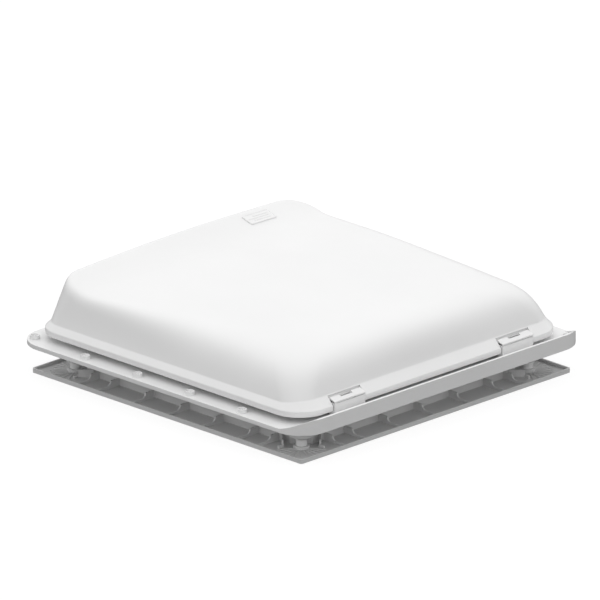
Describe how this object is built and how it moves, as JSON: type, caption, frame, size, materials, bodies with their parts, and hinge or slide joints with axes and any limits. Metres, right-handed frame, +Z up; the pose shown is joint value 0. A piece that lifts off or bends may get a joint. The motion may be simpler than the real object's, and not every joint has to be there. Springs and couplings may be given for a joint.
{
  "type": "roof ventilation hatch",
  "caption": "Square hinged roof hatch with a domed lid, a screwed outer frame, a clamping inner frame, a hand winder with lift arm, and an insect screen.",
  "frame": {"origin": "centre of the square roof opening, in the plane of the roof's outer surface, which is the underside of the outer flange", "axes": "+Z is up and out through the roof, +Y points to the hinge side, and +X runs along the hinge axis"},
  "size_m": [0.33, 0.33, 0.0846],
  "materials": {
    "frame_plastic": "satin moulded white plastic",
    "lid_plastic": "smooth satin white plastic, finely textured",
    "inner_plastic": "matte moulded off-white plastic",
    "winder_plastic": "matte moulded white plastic",
    "screw_plastic": "white coated screw heads",
    "seal_rubber": "black closed-cell sealing rubber",
    "roller_plastic": "black low-friction plastic",
    "zinc_steel": "zinc plated steel",
    "screen_fabric": "dark grey woven insect mesh"
  },
  "bodies": {
    "root": {"outer_frame": "frame_plastic", "hinge_pins": "zinc_steel", "coaming_seal": "seal_rubber", "flange_corner_screws": "screw_plastic", "flange_side_screws": "screw_plastic", "inner_frame": "inner_plastic", "clamp_screws": "zinc_steel", "winder_housing": "winder_plastic", "housing_screws": "zinc_steel", "winder_panel": "winder_plastic", "panel_screws": "zinc_steel", "screen_frame": "inner_plastic", "insect_mesh": "screen_fabric", "catch_rivets": "zinc_steel"},
    "lid": {"lid_shell": "lid_plastic", "lid_frame": "lid_plastic", "lift_rail": "zinc_steel", "badge_plate": "lid_plastic", "hinge_caps": "frame_plastic"},
    "arm": {"arm_axle": "zinc_steel", "gear_sector": "winder_plastic", "lift_arm": "zinc_steel", "roller_pin": "zinc_steel"},
    "rollers": {"arm_rollers": "roller_plastic"},
    "knob": {"worm_shaft": "zinc_steel", "winder_knob": "winder_plastic", "knob_screw": "zinc_steel"},
    "catch_left": {"screen_catch_left": "winder_plastic"},
    "catch_right": {"screen_catch_right": "winder_plastic"}
  },
  "joints": [
    {"name": "lid_hinge", "type": "hinge", "parent": "root", "child": "lid", "pos_m": [0, 0.149, 0.012], "axis": [-1, 0, 0], "range_deg": [0, 45]},
    {"name": "arm_pivot", "type": "hinge", "parent": "root", "child": "arm", "pos_m": [0, 0.113, 0.007], "axis": [-1, 0, 0], "range_deg": [0, 56.25]},
    {"name": "roller_spin", "type": "hinge", "parent": "arm", "child": "rollers", "pos_m": [0, -0.00552, 0.02577], "axis": [1, 0, 0], "continuous": true},
    {"name": "knob_turn", "type": "hinge", "parent": "root", "child": "knob", "pos_m": [0, 0.0892, -0.02], "axis": [0, 0, -1], "range_deg": [0, 1350]},
    {"name": "catch_left_turn", "type": "hinge", "parent": "root", "child": "catch_left", "pos_m": [-0.07, 0.064, -0.025], "axis": [0, 0, 1], "range_deg": [0, 90]},
    {"name": "catch_right_turn", "type": "hinge", "parent": "root", "child": "catch_right", "pos_m": [0.07, 0.064, -0.025], "axis": [0, 0, -1], "range_deg": [0, 90]}
  ],
  "couplings": [
    {"joint": "arm_pivot", "follows": "lid_hinge", "ratio": 1.25},
    {"joint": "knob_turn", "follows": "lid_hinge", "ratio": 30}
  ]
}
